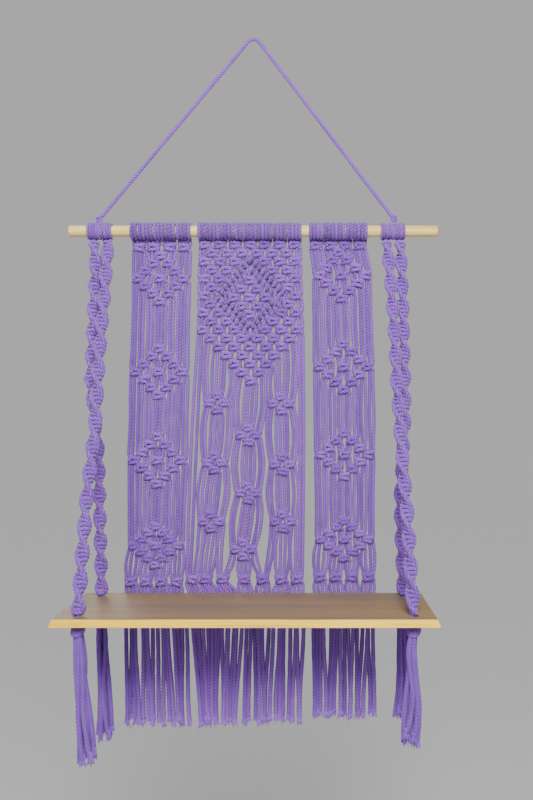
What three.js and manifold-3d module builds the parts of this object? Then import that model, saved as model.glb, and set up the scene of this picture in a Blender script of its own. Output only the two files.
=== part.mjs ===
// Macrame wall shelf: three knotted panels and four spiral straps hang from a round rod, and the straps
// carry a pine board. A cord triangle above the rod goes over a nail.
// Millimetres. X runs along the rod, +Y runs into the wall and +Z is up. The origin is the top of the
// nail, where the hanger cord bears on it, so everything else lies below and in front of it.
import * as THREE from "three";
import { mergeVertices } from "three/addons/utils/BufferGeometryUtils.js";
import Module from "manifold-3d";

const wasm = await Module();
wasm.setup();

// Driving sizes
const CORD_DIAMETER = 5;
const GAP = 0.3;
const ROD = { length: 500, radius: 7.5, y: -7, z: -261, round: 1.5, sides: 24 };
const WRAP = { ridge: 11, groove: 9.4, bore: ROD.radius + GAP, sides: 8, boreSides: 16 };
const BOARD = { width: 461, depth: 170, thickness: 9, bevel: 3.5, backY: -4, topZ: -752 };
const HOLE = { radius: 5.6, x: 201, fromEdge: 24, sides: 16 };

// The panels hang in one plane behind the board, and their relief stands out from it on both sides
const PANEL_Y = 0.8;
const RELIEF = { knot: 4.3, dimple: 1.8, rim: 2.9, web: 2.2, groove: 2.6, hem: 2.2 };
const STRAND_RADIUS = 2.6;
const PAIR = { ridge: 2.3, edge: 4.3, front: 2.6, valley: 0.9, back: 1.6 };
const SINK = 3;
const SWAY = { from: 95, by: 1.6, phase: 2.4 };
const STRAND_END_Z = BOARD.topZ;
const STRIP = { height: 7, halfThickness: 2.6 };

const COTTON = { color: 0x9a7fc4, roughness: 0.95 };
const SHADED_COTTON = { color: 0x8a70b4, roughness: 0.95 };
const PINE = { color: 0xdcc89c, roughness: 0.6 };
const STAINED_PINE = { color: 0xa8927a, roughness: 0.55 };

// Hanger cord from the left knot over the nail to the right knot
const HANGER_ROUTE = [
  [-206.5, -7, -242],
  [-140, -4.7, -161.4],
  [-70, -2.3, -76.6],
  [-20, -0.5, -16],
  [-7.7, 0, -1.1],
  [-4, 0, 1.7],
  [0, 0, 2.5],
  [4, 0, 1.7],
  [8, 0, -1.5],
  [20, -0.5, -17.5],
  [68, -2.3, -81.3],
  [128, -4.7, -161.1],
  [188.5, -7, -241.5],
];
const HANGER_STEPS = 52;
const HANGER_SIDES = 8;

// Each panel's outline: its left and right edge at some heights
const OUTLINES = {
  left: [
    { z: -278, left: -166.4, right: -84.2 },
    { z: -463, left: -170.5, right: -87 },
    { z: -572, left: -173.2, right: -89 },
    { z: -688, left: -171.9, right: -94.4 },
    { z: -752, left: -176.5, right: -95.5 },
  ],
  centre: [
    { z: -278, left: -75.4, right: 65.9 },
    { z: -354, left: -78.1, right: 68.6 },
    { z: -490, left: -80.8, right: 74.7 },
    { z: -626, left: -83.6, right: 72 },
    { z: -694, left: -88.3, right: 74 },
    { z: -752, left: -91.5, right: 70 },
  ],
  right: [
    { z: -278, left: 75.4, right: 154.9 },
    { z: -320, left: 79.1, right: 161.8 },
    { z: -483, left: 79.9, right: 167.3 },
    { z: -565, left: 81.5, right: 167.3 },
    { z: -680, left: 82.9, right: 166 },
    { z: -752, left: 80.4, right: 166.9 },
  ],
};

// Side panels: 16 strands, a row of knots under the rod, four knotted diamonds and a row at the hem
const SIDE_STRANDS = 16;
const SIDE_PANELS = {
  left: {
    topRowZ: -282,
    diamonds: [
      { z: -324.3, rowPitch: 10.3 },
      { z: -451.6, rowPitch: 10.6 },
      { z: -572.2, rowPitch: 10.7 },
      { z: -688.4, rowPitch: 8.7 },
    ],
    hemZ: -738,
    hemKnots: [-167, -147, -126, -105.5],
  },
  right: {
    topRowZ: -279.5,
    diamonds: [
      { z: -320.2, rowPitch: 10.4 },
      { z: -444.8, rowPitch: 10.4 },
      { z: -564.8, rowPitch: 9.8 },
      { z: -680.2, rowPitch: 8.4 },
    ],
    hemZ: -731.5,
    hemKnots: [90.4, 112.1, 133.8, 156.9],
  },
};

// Centre panel: 28 strands, a field of knots that ends in a point, small diamonds below it and a hem row
const CENTRE_STRANDS = 28;
const FIELD = { topZ: -278.1, rowPitch: 11.6, fullRows: 10, clipZ: -272, middle: 14, ringRow: 6 };
const SMALL_DIAMOND = { strands: 8, unit: 4.6, rowPitch: 8.8 };
const CENTRE_COLUMNS = [
  { first: 2, diamonds: [{ x: -49.6, z: -494 }, { x: -52.7, z: -575.6 }, { x: -57.7, z: -655.8 }] },
  { first: 10, diamonds: [{ x: -7.1, z: -537.6 }, { x: -7.7, z: -616.8 }, { x: -13.7, z: -693.8 }] },
  { first: 18, diamonds: [{ x: 38, z: -495 }, { x: 39.3, z: -577.7 }, { x: 40.1, z: -655.8 }] },
];
const CENTRE_HEM = { z: -734.6, knots: [-83.6, -64.6, -42.1, -13.5, 12.2, 38.1, 59.5] };
const ROW_KNOT = { halfWidth: 8.6, halfHeight: 5.6, shoulder: 0.55, spacing: 4.4 };

// Fringe below the panels hangs in clusters of strands
const FRINGE = {
  left: [{ first: 0, count: 16, left: -178, right: -84, bottom: -931 }],
  centre: [
    { first: 0, count: 14, left: -75, right: -24, bottom: -931 },
    { first: 14, count: 14, left: -15, right: 68, bottom: -929 },
  ],
  right: [{ first: 0, count: 16, left: 77, right: 165, bottom: -921 }],
};
const UNEVEN_ENDS = { by: 4, phase: 2.1 };

// Straps: where each is wrapped on the rod, its sideways drift at some heights, and its twist
const TWIST = { halfLong: 8.6, halfThick: 4.9, shoulder: 0.55, stepDegrees: 90 };
const NECK = { radius: 4.5, thick: 3.6, rise: 4, sides: 8 };
const STRAPS = {
  front_left: {
    wrap: [-205.9, -191],
    holeX: -HOLE.x,
    front: true,
    bulgeZ: -288,
    halfTurn: 32.5,
    drift: [
      { z: -270, x: -198.5 },
      { z: -300, x: -196.6 },
      { z: -432, x: -198 },
      { z: -530, x: -196.8 },
      { z: -620, x: -201 },
      { z: -749, x: -201 },
    ],
    tassel: { dx: 11, bottom: -931 },
  },
  rear_left: {
    wrap: [-225, -210.1],
    holeX: -HOLE.x,
    front: false,
    bulgeZ: -302,
    halfTurn: 31.3,
    drift: [
      { z: -270, x: -217.5 },
      { z: -303, x: -214 },
      { z: -367, x: -215.8 },
      { z: -465, x: -219 },
      { z: -560, x: -207.5 },
      { z: -749, x: -201 },
    ],
    tassel: { dx: 5, bottom: -944 },
  },
  front_right: {
    wrap: [172.6, 187.2],
    holeX: HOLE.x,
    front: true,
    bulgeZ: -303.5,
    halfTurn: 32.8,
    drift: [
      { z: -270, x: 180 },
      { z: -303, x: 182.9 },
      { z: -376, x: 187 },
      { z: -475, x: 189.5 },
      { z: -545, x: 192 },
      { z: -620, x: 196.5 },
      { z: -749, x: 201 },
    ],
    tassel: { dx: -4, bottom: -910 },
  },
  rear_right: {
    wrap: [191.4, 205.8],
    holeX: HOLE.x,
    front: false,
    bulgeZ: -305,
    halfTurn: 31.1,
    drift: [
      { z: -270, x: 198.6 },
      { z: -305, x: 200.6 },
      { z: -377, x: 203 },
      { z: -510, x: 205 },
      { z: -625, x: 197.5 },
      { z: -749, x: 201 },
    ],
    tassel: { dx: -1, bottom: -913 },
  },
};
const STRAP_TOP_Z = ROD.z - 9.5;
const STRAP_FOOT_Z = BOARD.topZ + 3;
const RIBS_PER_STRAP = 4;
const TASSEL_HEAD = {
  height: 14,
  radius: 9.6,
  lowRadius: 8.6,
  neck: 5,
  widest: 4.2,
  waist: 10.5,
  sides: 8,
};
const TASSEL = { strands: 7, topRing: 4.6, bottomRing: 8, lean: 0.4 };

// Where the hanger cord is tied round the rod, between the two straps of each side
const HANGER_KNOTS = {
  left: { wrap: [-209.8, -206.2], cordEnd: 0, tail: -212 },
  right: { wrap: [187.5, 191.1], cordEnd: HANGER_ROUTE.length - 1, tail: 194.3 },
};
const KNOB = { mouth: 2.6, radius: 4.7, foot: 3, length: 6, shoulder: 1.8, waist: 3.6, sides: 8 };
const STEM = { radius: 1.6, height: 8, above: 2, sides: 6 };
const TAIL = { radius: 3.5, sides: 6, rows: 5 };

// Solids from three.js geometry and back. Corners that meet are merged, and faces are turned outwards.
function toSolid(geometry) {
  const bare = geometry.clone();
  bare.deleteAttribute("normal");
  bare.deleteAttribute("uv");
  const merged = mergeVertices(bare, 1e-4);
  const corner = (index) => new THREE.Vector3().fromBufferAttribute(merged.attributes.position, index);
  const faces = [];
  let volume = 0;
  for (let k = 0; k < merged.index.count; k += 3) {
    const [a, b, c] = merged.index.array.slice(k, k + 3);
    if (a === b || b === c || c === a) continue;
    faces.push([a, b, c]);
    volume += corner(a).dot(corner(b).cross(corner(c)));
  }
  const outward = volume > 0 ? faces : faces.map(([a, b, c]) => [a, c, b]);
  const vertProperties = merged.attributes.position.array;
  const triVerts = Uint32Array.from(outward.flat());
  return new wasm.Manifold(new wasm.Mesh({ numProp: 3, vertProperties, triVerts }));
}

function toGeometry(solid) {
  const mesh = solid.getMesh();
  const geometry = new THREE.BufferGeometry();
  geometry.setAttribute("position", new THREE.BufferAttribute(new Float32Array(mesh.vertProperties), 3));
  geometry.setIndex(new THREE.BufferAttribute(new Uint32Array(mesh.triVerts), 1));
  geometry.computeVertexNormals();
  return geometry;
}

function joined(solids) {
  return solids.reduce((whole, piece) => whole.add(piece));
}

function meshOf(points, faces) {
  const geometry = new THREE.BufferGeometry().setFromPoints(points);
  geometry.setIndex(faces.flat());
  return geometry;
}

// A solid skin over rings of points that all have the same number of points
function loft(rings) {
  const count = rings[0].length;
  const faces = [];
  for (let ring = 0; ring < rings.length - 1; ring++) {
    for (let k = 0; k < count; k++) {
      const a = ring * count + k;
      const b = ring * count + ((k + 1) % count);
      faces.push([a, b, b + count], [a, b + count, a + count]);
    }
  }
  const last = (rings.length - 1) * count;
  for (let k = 1; k < count - 1; k++) {
    faces.push([0, k + 1, k], [last, last + k, last + k + 1]);
  }
  return toSolid(meshOf(rings.flat(), faces));
}

// A turned solid: the profile's radii at distances along an axis from a start point
function turned(profile, start, axis, sides) {
  const outline = profile.map(([radius, along]) => new THREE.Vector2(radius, along));
  const geometry = new THREE.LatheGeometry(outline, sides);
  const turn = new THREE.Quaternion().setFromUnitVectors(new THREE.Vector3(0, 1, 0), axis);
  geometry.applyQuaternion(turn);
  geometry.translate(start.x, start.y, start.z);
  return toSolid(geometry);
}

// Value of a column at height z, straight between the rows of a table that runs downwards
function between(rows, z, column) {
  const below = rows.findIndex((row) => row.z <= z);
  const next = below < 0 ? rows.length - 1 : Math.max(below, 1);
  const upper = rows[next - 1];
  const lower = rows[next];
  const share = THREE.MathUtils.clamp((upper.z - z) / (upper.z - lower.z), 0, 1);
  return upper[column] + (lower[column] - upper[column]) * share;
}

// X of a place across a panel, counted in strands from its left edge
function across(outline, strands, s, z) {
  const left = between(outline, z, "left");
  const right = between(outline, z, "right");
  return left + ((right - left) * s) / strands;
}

// A sheet with relief on both faces. Each point holds x, z and its relief, each triangle three points.
function reliefSheet(points, triangles) {
  const count = points.length;
  const front = points.map((p) => new THREE.Vector3(p.x, PANEL_Y - p.relief, p.z));
  const back = points.map((p) => new THREE.Vector3(p.x, PANEL_Y + p.relief, p.z));
  const faces = [];
  const edges = new Map();
  for (const [a, b, c] of triangles) {
    const [p, q, r] = [points[a], points[b], points[c]];
    const area = (q.x - p.x) * (r.z - p.z) - (q.z - p.z) * (r.x - p.x);
    const corners = area > 0 ? [a, b, c] : [a, c, b];
    faces.push(corners, [count + corners[0], count + corners[2], count + corners[1]]);
    corners.forEach((from, k) => {
      const to = corners[(k + 1) % 3];
      edges.set(`${from} ${to}`, [from, to]);
    });
  }
  for (const [from, to] of edges.values()) {
    if (!edges.has(`${to} ${from}`)) {
      faces.push([to, from, count + from], [to, count + from, count + to]);
    }
  }
  return toSolid(meshOf([...front, ...back], faces));
}

// Collects the knots of a lattice. Knots sit two strands and one row apart, so their diamonds tile it.
class Lattice {
  constructor(place) {
    this.place = place;
    this.names = new Map();
    this.points = [];
    this.triangles = [];
  }

  point([s, row]) {
    const name = `${s} ${row}`;
    if (!this.names.has(name)) {
      this.names.set(name, this.points.length);
      this.points.push(this.place(s, row));
    }
    return this.names.get(name);
  }

  face(...corners) {
    this.triangles.push(corners.map((corner) => this.point(corner)));
  }

  knot(s, row) {
    const rim = [[s - 2, row], [s, row + 1], [s + 2, row], [s, row - 1]];
    rim.forEach((corner, k) => this.face([s, row], corner, rim[(k + 1) % 4]));
  }

  solid() {
    return reliefSheet(this.points, this.triangles);
  }
}

// One strand: a three-sided prism with a ridge to the front
function strand(stations) {
  const halfWidth = STRAND_RADIUS * Math.cos(Math.PI / 6);
  const rings = stations.map(({ x, y, z }) => [
    new THREE.Vector3(x, y - STRAND_RADIUS, z),
    new THREE.Vector3(x + halfWidth, y + STRAND_RADIUS / 2, z),
    new THREE.Vector3(x - halfWidth, y + STRAND_RADIUS / 2, z),
  ]);
  return loft(rings);
}

// Two strands side by side, as they leave a knot: a prism with a ridge for each and a valley between
function strandPair(stations) {
  const section = [
    [0, -PAIR.valley],
    [PAIR.ridge, -PAIR.front],
    [PAIR.edge, PAIR.back],
    [-PAIR.edge, PAIR.back],
    [-PAIR.ridge, -PAIR.front],
  ];
  const ring = ({ x, z }) => section.map(([u, v]) => new THREE.Vector3(x + u, PANEL_Y + v, z));
  return loft(stations.map(ring));
}

// The free stretch of a pair from one knotted piece to the next, a little bowed where it is long
function stretch(index, from, to) {
  const start = { x: from.x, z: from.bottom + SINK };
  const end = { x: to.x, z: to.top - SINK };
  const bow = SWAY.by * Math.sin(index * SWAY.phase + from.bottom);
  const middle = { x: (start.x + end.x) / 2 + bow, z: (start.z + end.z) / 2 };
  return strandPair(start.z - end.z > SWAY.from ? [start, middle, end] : [start, end]);
}

// All stretches of a pair between its stops, which run down the panel
function stretches(index, stops) {
  return stops.slice(1).map((stop, k) => stretch(index, stops[k], stop));
}

// A single square knot over four strands, with its shoulders
function rowKnot(x, z) {
  const { halfWidth, halfHeight, shoulder } = ROW_KNOT;
  const rim = [[-1, 0], [-shoulder, -1], [shoulder, -1], [1, 0], [shoulder, 1], [-shoulder, 1]];
  const spot = (u, v, relief) => ({ x: x + u * halfWidth, z: z + v * halfHeight, relief });
  const points = [...rim.map(([u, v]) => spot(u, v, RELIEF.rim)), spot(0, 0, RELIEF.knot)];
  const triangles = rim.map((_, k) => [rim.length, k, (k + 1) % rim.length]);
  return reliefSheet(points, triangles);
}

// Where strand s passes a row of knots
function rowTie(knots, z) {
  return (s) => {
    const knot = Math.floor(s / 4);
    const x = knots[knot] + (s - 4 * knot - 2) * ROW_KNOT.spacing;
    return { x, top: z + ROW_KNOT.halfHeight, bottom: z - ROW_KNOT.halfHeight };
  };
}

// Cords wrapped round the rod between two places, one rib for each
function wraps([from, to], ribs) {
  const rib = (to - from) / ribs;
  const profile = [[0, 0], [WRAP.groove, 0]];
  for (let k = 0; k < ribs; k++) {
    profile.push([WRAP.ridge, (k + 0.5) * rib], [WRAP.groove, (k + 1) * rib]);
  }
  profile.push([0, to - from]);
  return turned(profile, new THREE.Vector3(from, ROD.y, ROD.z), new THREE.Vector3(1, 0, 0), WRAP.sides);
}

function bored(solid) {
  const radius = WRAP.bore / Math.cos(Math.PI / WRAP.boreSides);
  const bore = new THREE.CylinderGeometry(radius, radius, ROD.length * 2, WRAP.boreSides);
  bore.rotateZ(Math.PI / 2);
  bore.translate(0, ROD.y, ROD.z);
  return solid.subtract(toSolid(bore));
}

// Cords side by side behind the rod, above the first row of knots
function headWeb(outline, strands, bottom) {
  const top = ROD.z - ROD.radius;
  const points = [[0, top], [strands, top], [strands, bottom], [0, bottom]].map(([s, z]) => ({
    x: across(outline, strands, s, z),
    z,
    relief: RELIEF.dimple,
  }));
  return reliefSheet(points, [[0, 1, 2], [0, 2, 3]]);
}

// Cords side by side below the last row of knots, one ridge for each pair
function hemWeb(outline, strands, top) {
  const points = [];
  const triangles = [];
  for (let s = 0; s <= strands; s++) {
    const relief = s % 2 ? RELIEF.hem : RELIEF.dimple / 2;
    points.push({ x: across(outline, strands, s, top), z: top, relief });
    points.push({ x: across(outline, strands, s, STRAND_END_Z), z: STRAND_END_Z, relief });
    if (s > 0) triangles.push([2 * s - 2, 2 * s - 1, 2 * s], [2 * s - 1, 2 * s + 1, 2 * s]);
  }
  return reliefSheet(points, triangles);
}

// A knotted diamond of a side panel: a ring of twelve knots round a middle one
function sideDiamond(outline, { z, rowPitch }) {
  const ringOf = (s, row) => Math.abs(s - 8) / 2 + Math.abs(row - 4);
  const reliefs = [RELIEF.knot, RELIEF.web, RELIEF.web, RELIEF.knot, RELIEF.rim];
  const lattice = new Lattice((s, row) => {
    const height = z - (row - 4) * rowPitch;
    return { x: across(outline, SIDE_STRANDS, s, height), z: height, relief: reliefs[ringOf(s, row)] };
  });
  for (let row = 1; row <= 7; row++) {
    for (let s = 2; s <= 14; s += 2) {
      if (ringOf(s, row) === 3) lattice.knot(s, row);
    }
  }
  lattice.knot(8, 4);
  for (const u of [-1, 1]) {
    for (const v of [-1, 1]) {
      lattice.face([8, 4 + 2 * v], [8 + 2 * u, 4 + v], [8, 4 + v]);
      lattice.face([8 + 2 * u, 4 + v], [8 + 2 * u, 4], [8, 4 + v]);
      lattice.face([8 + 2 * u, 4 + v], [8 + 4 * u, 4], [8 + 2 * u, 4]);
    }
  }
  return lattice.solid();
}

function sidePanel(side) {
  const { topRowZ, diamonds, hemZ, hemKnots } = SIDE_PANELS[side];
  const outline = OUTLINES[side];
  const knotSpots = [2, 6, 10, 14].map((s) => across(outline, SIDE_STRANDS, s, topRowZ));
  const hem = rowTie(hemKnots, hemZ);
  const ties = [
    rowTie(knotSpots, topRowZ),
    ...diamonds.map(({ z, rowPitch }) => (s) => {
      const reach = (4 - Math.abs(s - 8) / 2) * rowPitch;
      return { x: across(outline, SIDE_STRANDS, s, z), top: z + reach, bottom: z - reach };
    }),
    hem,
  ];
  const { left, right } = outline[0];
  const pieces = [
    wraps([left, right], SIDE_STRANDS / 2),
    headWeb(outline, SIDE_STRANDS, topRowZ + ROW_KNOT.halfHeight / 2),
    ...knotSpots.map((x) => rowKnot(x, topRowZ)),
    ...diamonds.map((diamond) => sideDiamond(outline, diamond)),
    ...hemKnots.map((x) => rowKnot(x, hemZ)),
    hemWeb(outline, SIDE_STRANDS, hemZ - ROW_KNOT.halfHeight / 2),
  ];
  for (let s = 1; s < SIDE_STRANDS; s += 2) pieces.push(...stretches(s, ties.map((tie) => tie(s))));
  return bored(joined(pieces));
}

// Relief of the centre field: knots, with two raised rings of slanting hitches and a groove between them
function fieldRelief(s, row) {
  const ring = Math.abs(s - FIELD.middle) / 2 + Math.abs(row - FIELD.ringRow);
  const edge = s === 0 || s === CENTRE_STRANDS || row < 0 || ring === 11;
  const isKnot = (s / 2 + row) % 2 !== 0;
  if (ring === 4) return RELIEF.groove;
  if (isKnot || ring === 3 || ring === 5) return RELIEF.knot;
  return edge ? RELIEF.rim : RELIEF.dimple;
}

function centreField(outline) {
  const lattice = new Lattice((s, row) => {
    const z = Math.min(FIELD.topZ - row * FIELD.rowPitch, FIELD.clipZ);
    return { x: across(outline, CENTRE_STRANDS, s, z), z, relief: fieldRelief(s, row) };
  });
  for (let row = 0; row <= FIELD.fullRows; row++) {
    for (let s = row % 2 ? 4 : 2; s <= CENTRE_STRANDS - 2; s += 4) lattice.knot(s, row);
  }
  for (let row = 1; row < FIELD.fullRows; row += 2) {
    lattice.face([0, row - 1], [0, row + 1], [2, row]);
    lattice.face([CENTRE_STRANDS, row - 1], [CENTRE_STRANDS, row + 1], [CENTRE_STRANDS - 2, row]);
  }
  for (let row = FIELD.fullRows + 1; row <= FIELD.fullRows + 6; row++) {
    const first = 2 * (row - FIELD.fullRows) + 2;
    for (let s = first; s <= CENTRE_STRANDS - first; s += 4) lattice.knot(s, row);
  }
  return lattice.solid();
}

// A small diamond of four knots over eight strands
function smallDiamond({ x, z }) {
  const { unit, rowPitch } = SMALL_DIAMOND;
  const reliefs = [RELIEF.dimple, RELIEF.knot, RELIEF.rim];
  const lattice = new Lattice((s, row) => {
    const relief = reliefs[Math.abs(s - 4) / 2 + Math.abs(row - 2)];
    return { x: x + (s - 4) * unit, z: z - (row - 2) * rowPitch, relief };
  });
  for (const [s, row] of [[4, 1], [2, 2], [6, 2], [4, 3]]) lattice.knot(s, row);
  return lattice.solid();
}

function centrePanel() {
  const outline = OUTLINES.centre;
  const hem = rowTie(CENTRE_HEM.knots, CENTRE_HEM.z);
  const fieldEnd = (s) => {
    const row = FIELD.fullRows + 7 - Math.abs(s - FIELD.middle) / 2;
    const z = FIELD.topZ - row * FIELD.rowPitch;
    return { x: across(outline, CENTRE_STRANDS, s, z), bottom: z };
  };
  const { left, right } = outline[0];
  const pieces = [
    wraps([left, right], CENTRE_STRANDS / 2),
    headWeb(outline, CENTRE_STRANDS, FIELD.clipZ - SINK),
    centreField(outline),
    ...CENTRE_COLUMNS.flatMap(({ diamonds }) => diamonds.map(smallDiamond)),
    ...CENTRE_HEM.knots.map((x) => rowKnot(x, CENTRE_HEM.z)),
    hemWeb(outline, CENTRE_STRANDS, CENTRE_HEM.z - ROW_KNOT.halfHeight / 2),
  ];
  for (let s = 1; s < CENTRE_STRANDS; s += 2) {
    const column = CENTRE_COLUMNS.find(({ first }) => s > first && s < first + SMALL_DIAMOND.strands);
    const stops = [fieldEnd(s)];
    for (const { x, z } of column ? column.diamonds : []) {
      const local = s - column.first - 4;
      const reach = (2 - Math.abs(local) / 2) * SMALL_DIAMOND.rowPitch;
      stops.push({ x: x + local * SMALL_DIAMOND.unit, top: z + reach, bottom: z - reach });
    }
    stops.push(hem(s));
    pieces.push(...stretches(s, stops));
  }
  return bored(joined(pieces));
}

// Fringe of one panel: loose strands rooted in a narrow strip behind the board
function fringe(side, strands) {
  const outline = OUTLINES[side];
  const top = STRAND_END_Z - GAP;
  const left = across(outline, strands, 0, top);
  const right = across(outline, strands, strands, top);
  const box = new THREE.BoxGeometry(right - left, 2 * STRIP.halfThickness, STRIP.height);
  box.translate((left + right) / 2, PANEL_Y, top - STRIP.height / 2);
  const pieces = [toSolid(box)];
  for (const cluster of FRINGE[side]) {
    for (let k = 0; k < cluster.count; k++) {
      const i = cluster.first + k;
      const rootX = across(outline, strands, i + 0.5, top);
      const share = (k + 0.5) / cluster.count;
      const bottomX = cluster.left + (cluster.right - cluster.left) * share;
      const bottom = cluster.bottom + UNEVEN_ENDS.by * Math.sin(i * UNEVEN_ENDS.phase);
      const root = { x: rootX, y: PANEL_Y, z: top - STRIP.height / 2 };
      pieces.push(strand([root, { x: bottomX, y: PANEL_Y, z: bottom }]));
    }
  }
  return joined(pieces);
}

// Y of the board's front or rear holes
function holeY(front) {
  return BOARD.backY - (front ? BOARD.depth - HOLE.fromEdge : HOLE.fromEdge);
}

// A strap of half knots that spiral, narrow where it leaves the rod and where it goes through the board
function strap({ wrap, holeX, front, bulgeZ, halfTurn, drift }) {
  const section = (x, y, z, long, thick, angle) => {
    const { shoulder } = TWIST;
    const corners = [[1, 0], [shoulder, 1], [-shoulder, 1], [-1, 0], [-shoulder, -1], [shoulder, -1]];
    return corners.map(([u, v]) => {
      const a = u * long;
      const b = v * thick;
      const turnedX = a * Math.cos(angle) - b * Math.sin(angle);
      const turnedY = a * Math.sin(angle) + b * Math.cos(angle);
      return new THREE.Vector3(x + turnedX, y + turnedY, z);
    });
  };
  const footY = holeY(front);
  const step = (halfTurn * TWIST.stepDegrees) / 180;
  const angleAt = (z) => ((bulgeZ - z) / halfTurn) * Math.PI;
  const rings = [];
  const steps = Math.round((STRAP_TOP_Z - STRAP_FOOT_Z) / step);
  for (let k = 0; k <= steps; k++) {
    const share = k / steps;
    const z = STRAP_TOP_Z + (STRAP_FOOT_Z - STRAP_TOP_Z) * share;
    const x = between(drift, z, "x");
    const y = ROD.y + (footY - ROD.y) * share;
    const end = k === 0 || k === steps;
    const long = end ? NECK.radius : TWIST.halfLong;
    const thick = end ? NECK.thick : TWIST.halfThick;
    rings.push(section(x, y, z, long, thick, angleAt(z)));
  }
  const footHeight = BOARD.thickness + NECK.rise;
  const foot = new THREE.CylinderGeometry(NECK.radius, NECK.radius, footHeight, NECK.sides);
  foot.rotateX(Math.PI / 2);
  foot.translate(holeX, footY, BOARD.topZ + NECK.rise - footHeight / 2);
  return bored(joined([wraps(wrap, RIBS_PER_STRAP), loft(rings), toSolid(foot)]));
}

// The knot under the board that keeps the strap from slipping back, with its loose ends
function tassel({ holeX, front, tassel: { dx, bottom } }) {
  const top = BOARD.topZ - BOARD.thickness - GAP;
  const y = holeY(front);
  const { height, radius, lowRadius, neck, widest, waist, sides } = TASSEL_HEAD;
  const profile = [[0, 0], [neck, 0], [radius, widest], [lowRadius, waist], [neck, height], [0, height]];
  const pieces = [turned(profile, new THREE.Vector3(holeX, y, top), new THREE.Vector3(0, 0, -1), sides)];
  for (let k = 0; k < TASSEL.strands; k++) {
    const outer = k > 0;
    const angle = (k * 2 * Math.PI) / (TASSEL.strands - 1);
    const spot = (ring, z, shift) => ({
      x: holeX + shift + (outer ? ring * Math.cos(angle) : 0),
      y: y + (outer ? ring * Math.sin(angle) : 0),
      z,
    });
    const end = bottom + UNEVEN_ENDS.by * Math.sin(k * UNEVEN_ENDS.phase);
    const middle = (top + end) / 2;
    pieces.push(
      strand([
        spot(TASSEL.topRing, top - height / 2, 0),
        spot(TASSEL.bottomRing, middle, dx * TASSEL.lean),
        spot(TASSEL.bottomRing, end, dx),
      ]),
    );
  }
  return joined(pieces);
}

// The hanger cord's knot: one turn round the rod, and above it a knob with a short tail
function hangerKnot({ wrap, cordEnd, tail }) {
  const end = new THREE.Vector3(...HANGER_ROUTE[cordEnd]);
  const before = new THREE.Vector3(...HANGER_ROUTE[cordEnd === 0 ? 1 : cordEnd - 1]);
  const axis = end.clone().sub(before).normalize();
  const mouth = end.clone().addScaledVector(axis, GAP);
  const { length, radius, foot, shoulder, waist } = KNOB;
  const belly = [[radius, shoulder], [radius, waist]];
  const profile = [[0, 0], [KNOB.mouth, 0], ...belly, [foot, length], [0, length]];
  const knob = turned(profile, mouth, axis, KNOB.sides);
  const stem = new THREE.CylinderGeometry(STEM.radius, STEM.radius, STEM.height, STEM.sides);
  stem.rotateX(Math.PI / 2);
  stem.translate((wrap[0] + wrap[1]) / 2, ROD.y, ROD.z + WRAP.ridge + STEM.above);
  const tailBall = new THREE.SphereGeometry(TAIL.radius, TAIL.sides, TAIL.rows);
  tailBall.translate(tail, ROD.y, mouth.z - length / 2);
  return bored(joined([wraps(wrap, 1), knob, toSolid(stem), toSolid(tailBall)]));
}

function rod() {
  const { length, radius, round, sides } = ROD;
  const profile = [
    [0, 0],
    [radius - round, 0],
    [radius, round],
    [radius, length - round],
    [radius - round, length],
    [0, length],
  ];
  const start = new THREE.Vector3(-length / 2, ROD.y, ROD.z);
  return turned(profile, start, new THREE.Vector3(1, 0, 0), sides);
}

// The board is wider below: all four edges slope
function board() {
  const { width, depth, thickness, bevel, backY, topZ } = BOARD;
  const plank = new THREE.BoxGeometry(width, depth, thickness);
  const corners = plank.attributes.position;
  for (let k = 0; k < corners.count; k++) {
    if (corners.getZ(k) > 0) {
      corners.setX(k, Math.sign(corners.getX(k)) * (width / 2 - bevel));
      corners.setY(k, Math.sign(corners.getY(k)) * (depth / 2 - bevel));
    }
  }
  plank.translate(0, backY - depth / 2, topZ - thickness / 2);
  let solid = toSolid(plank);
  for (const front of [true, false]) {
    for (const side of [-1, 1]) {
      const hole = new THREE.CylinderGeometry(HOLE.radius, HOLE.radius, thickness * 3, HOLE.sides);
      hole.rotateX(Math.PI / 2);
      hole.translate(side * HOLE.x, holeY(front), topZ - thickness / 2);
      solid = solid.subtract(toSolid(hole));
    }
  }
  return solid;
}

function hangerCord() {
  const points = HANGER_ROUTE.map((point) => new THREE.Vector3(...point));
  const route = new THREE.CatmullRomCurve3(points, false, "centripetal");
  const rim = [];
  for (let k = 0; k < HANGER_SIDES; k++) {
    const angle = (k * 2 * Math.PI) / HANGER_SIDES;
    rim.push(new THREE.Vector2(Math.cos(angle), Math.sin(angle)).multiplyScalar(CORD_DIAMETER / 2));
  }
  const options = { steps: HANGER_STEPS, extrudePath: route, bevelEnabled: false };
  return new THREE.ExtrudeGeometry(new THREE.Shape(rim), options);
}

const shelf = new THREE.Group();

function addPiece(name, geometry, { color, roughness }) {
  const material = new THREE.MeshStandardMaterial({ color, roughness, metalness: 0 });
  const piece = new THREE.Mesh(geometry, material);
  piece.name = name;
  shelf.add(piece);
}

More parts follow.
